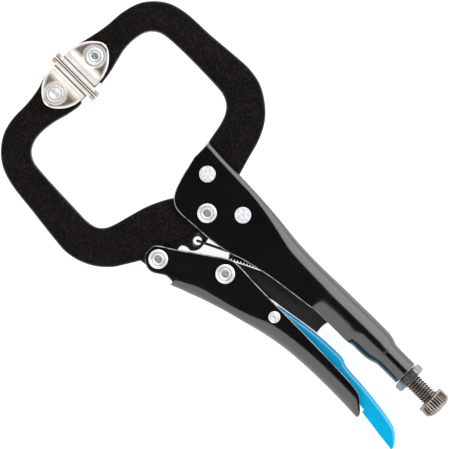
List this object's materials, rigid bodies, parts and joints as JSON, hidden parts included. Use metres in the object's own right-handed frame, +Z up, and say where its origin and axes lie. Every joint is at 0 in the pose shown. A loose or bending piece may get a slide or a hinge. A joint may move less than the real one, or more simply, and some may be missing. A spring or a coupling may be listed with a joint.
{
  "type": "locking pliers",
  "caption": "Locking pliers with C-shaped jaws and swivel pads, an over-centre toggle, a release lever and a knurled adjusting screw.",
  "frame": {"origin": "where the main pivot's axis meets the flat underside of its rivet, on the plane that the tool lies on", "axes": "+X along the tool from the jaws to the knob, +Y across it towards the fixed jaw, +Z up along every pivot"},
  "size_m": [0.1777, 0.0882, 0.0124],
  "materials": {
    "black_pressed": "semi-gloss black",
    "black_forged": "matte black, finely textured",
    "blue_lever": "glossy blue",
    "screw_steel": "dull plated steel",
    "nut_steel": "bright plated steel",
    "pad_plate": "nickel plate, worn brown in the dish",
    "rivet_steel": "bright zinc",
    "spring_steel": "drawn wire"
  },
  "bodies": {
    "frame": {"fixed_handle": "black_pressed", "fixed_jaw": "black_forged", "jaw_rivet_front": "rivet_steel", "jaw_rivet_rear": "rivet_steel", "main_pivot_rivet": "rivet_steel", "upper_pad_pin": "rivet_steel", "return_spring": "spring_steel"},
    "lower_jaw": {"lower_jaw": "black_forged", "lower_pad_pin": "rivet_steel", "handle_pivot_rivet": "rivet_steel"},
    "lower_handle": {"lower_handle": "black_pressed", "link_rivet": "rivet_steel", "lever_rivet": "rivet_steel"},
    "toggle_link": {"toggle_link": "black_forged"},
    "release_lever": {"release_lever": "blue_lever"},
    "upper_pad": {"upper_pad": "pad_plate"},
    "lower_pad": {"lower_pad": "pad_plate"},
    "lock_nut": {"lock_nut": "nut_steel"},
    "adjuster": {"adjusting_screw": "screw_steel", "adjusting_knob": "screw_steel"}
  },
  "joints": [
    {"name": "jaw_hinge", "type": "hinge", "parent": "frame", "child": "lower_jaw", "pos_m": [0, 0, 0.0062], "axis": [0, 0, 1], "range_deg": [0, 40], "deforming": ["return_spring"]},
    {"name": "handle_hinge", "type": "hinge", "parent": "lower_jaw", "child": "lower_handle", "pos_m": [-0.0007, -0.0227, 0.0062], "axis": [0, 0, 1], "range_deg": [-100, 0]},
    {"name": "link_hinge", "type": "hinge", "parent": "lower_handle", "child": "toggle_link", "pos_m": [0.0189, -0.0102, 0.0062], "axis": [0, 0, 1], "range_deg": [0, 94]},
    {"name": "lever_hinge", "type": "hinge", "parent": "lower_handle", "child": "release_lever", "pos_m": [0.041, -0.00875, 0.0062], "axis": [0, 0, -1], "range_deg": [0, 2.2]},
    {"name": "upper_pad_hinge", "type": "hinge", "parent": "frame", "child": "upper_pad", "pos_m": [-0.0645, 0.0107, 0.0062], "axis": [0, 0, 1], "range_deg": [0, 20]},
    {"name": "lower_pad_hinge", "type": "hinge", "parent": "lower_jaw", "child": "lower_pad", "pos_m": [-0.06505, -0.0077, 0.0062], "axis": [0, 0, 1], "range_deg": [-20, 0]},
    {"name": "nut_slide", "type": "slide", "parent": "frame", "child": "lock_nut", "axis": [1, 0, 0], "range_m": [0, 0.01]},
    {"name": "screw_spin", "type": "hinge", "parent": "lock_nut", "child": "adjuster", "pos_m": [0.098, 0.00905, 0.0062], "axis": [1, 0, 0], "range_deg": [0, 3600]}
  ],
  "couplings": [
    {"joint": "handle_hinge", "follows": "jaw_hinge", "ratio": -2.5},
    {"joint": "link_hinge", "follows": "jaw_hinge", "ratio": 2.34},
    {"joint": "upper_pad_hinge", "follows": "jaw_hinge", "ratio": 0.5},
    {"joint": "lower_pad_hinge", "follows": "jaw_hinge", "ratio": -0.5},
    {"joint": "screw_spin", "follows": "nut_slide", "rad_per_m": 6283.2}
  ]
}
